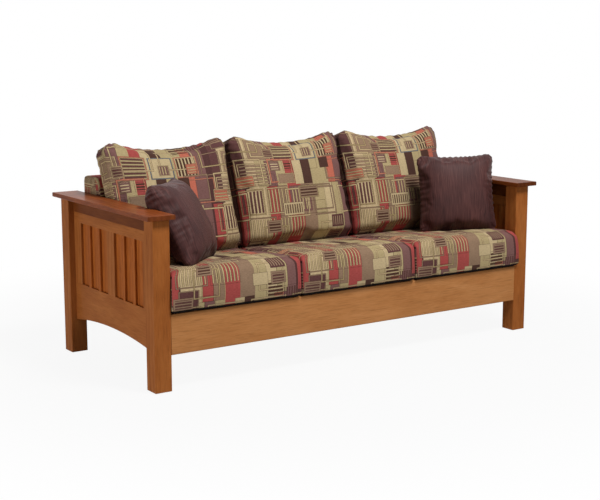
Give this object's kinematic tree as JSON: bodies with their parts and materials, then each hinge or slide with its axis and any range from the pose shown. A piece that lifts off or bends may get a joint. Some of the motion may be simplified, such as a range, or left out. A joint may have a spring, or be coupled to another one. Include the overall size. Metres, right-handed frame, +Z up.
{
  "type": "mission sofa",
  "caption": "Three-seat mission sofa with slatted hardwood side frames, flat arm boards, an upholstered back unit, loose seat and back cushions and throw pillows.",
  "frame": {"origin": "on the floor under the middle of the sofa's width and depth", "axes": "+X to the right of someone facing the sofa, along its length; +Y to the back; +Z up"},
  "size_m": [1.99, 0.88, 0.9178],
  "materials": {
    "stained_wood": "warm brown stain under a satin clear coat",
    "inner_wood": "bare planed hardwood",
    "patchwork_fabric": "woven upholstery in a geometric patchwork of tan, cream, plum, red and grey-green",
    "plum_fabric": "crinkled plum cloth with a soft sheen",
    "webbing": "woven elastic webbing",
    "steel": "zinc plated",
    "glide_plastic": "matt"
  },
  "bodies": {
    "frame": {"front_left_leg": "stained_wood", "front_right_leg": "stained_wood", "rear_left_leg": "stained_wood", "rear_right_leg": "stained_wood", "left_arm_board": "stained_wood", "right_arm_board": "stained_wood", "left_upper_rail": "stained_wood", "right_upper_rail": "stained_wood", "left_top_rail": "stained_wood", "right_top_rail": "stained_wood", "left_lower_rail": "stained_wood", "right_lower_rail": "stained_wood", "left_front_stile": "stained_wood", "left_centre_stile": "stained_wood", "left_rear_stile": "stained_wood", "right_front_stile": "stained_wood", "right_centre_stile": "stained_wood", "right_rear_stile": "stained_wood", "left_slats": "stained_wood", "right_slats": "stained_wood", "left_side_panel": "stained_wood", "right_side_panel": "stained_wood", "front_apron": "stained_wood", "rear_rail": "stained_wood", "front_cleat": "inner_wood", "rear_cleat": "inner_wood", "left_seat_ledger": "inner_wood", "right_seat_ledger": "inner_wood", "left_stretcher": "inner_wood", "centre_stretcher": "inner_wood", "right_stretcher": "inner_wood", "deck_slats": "inner_wood", "deck_screws": "steel", "corner_blocks": "inner_wood", "board_dowels": "inner_wood", "floor_glides": "glide_plastic", "back_bottom_rail": "inner_wood", "back_ribs": "inner_wood", "back_top_rail": "inner_wood", "back_webbing": "webbing", "inside_back": "patchwork_fabric", "outside_back": "patchwork_fabric", "left_back_end": "patchwork_fabric", "right_back_end": "patchwork_fabric", "left_back_cleat": "stained_wood", "right_back_cleat": "stained_wood", "back_bolts": "steel"},
    "left_seat": {"left_seat_cushion": "patchwork_fabric"},
    "middle_seat": {"middle_seat_cushion": "patchwork_fabric"},
    "right_seat": {"right_seat_cushion": "patchwork_fabric"},
    "left_back": {"left_back_cushion": "patchwork_fabric"},
    "middle_back": {"middle_back_cushion": "patchwork_fabric"},
    "right_back": {"right_back_cushion": "patchwork_fabric"},
    "left_throw": {"left_pillow": "plum_fabric"},
    "right_throw": {"right_pillow": "plum_fabric"}
  },
  "joints": [
    {"name": "left_seat_lift", "type": "slide", "parent": "frame", "child": "left_seat", "axis": [0, 0, 1], "range_m": [0, 0.15]},
    {"name": "middle_seat_lift", "type": "slide", "parent": "frame", "child": "middle_seat", "axis": [0, 0, 1], "range_m": [0, 0.15]},
    {"name": "right_seat_lift", "type": "slide", "parent": "frame", "child": "right_seat", "axis": [0, 0, 1], "range_m": [0, 0.15]},
    {"name": "left_back_pull", "type": "slide", "parent": "left_seat", "child": "left_back", "axis": [0, -0.9914, 0.1305], "range_m": [0, 0.3]},
    {"name": "middle_back_pull", "type": "slide", "parent": "middle_seat", "child": "middle_back", "axis": [0, -0.9914, 0.1305], "range_m": [0, 0.3]},
    {"name": "right_back_pull", "type": "slide", "parent": "right_seat", "child": "right_back", "axis": [0, -0.9914, 0.1305], "range_m": [0, 0.3]},
    {"name": "left_pillow_lift", "type": "slide", "parent": "left_back", "child": "left_throw", "axis": [0, 0, 1], "range_m": [0, 0.3]},
    {"name": "right_pillow_lift", "type": "slide", "parent": "right_back", "child": "right_throw", "axis": [0, 0, 1], "range_m": [0, 0.3]}
  ]
}
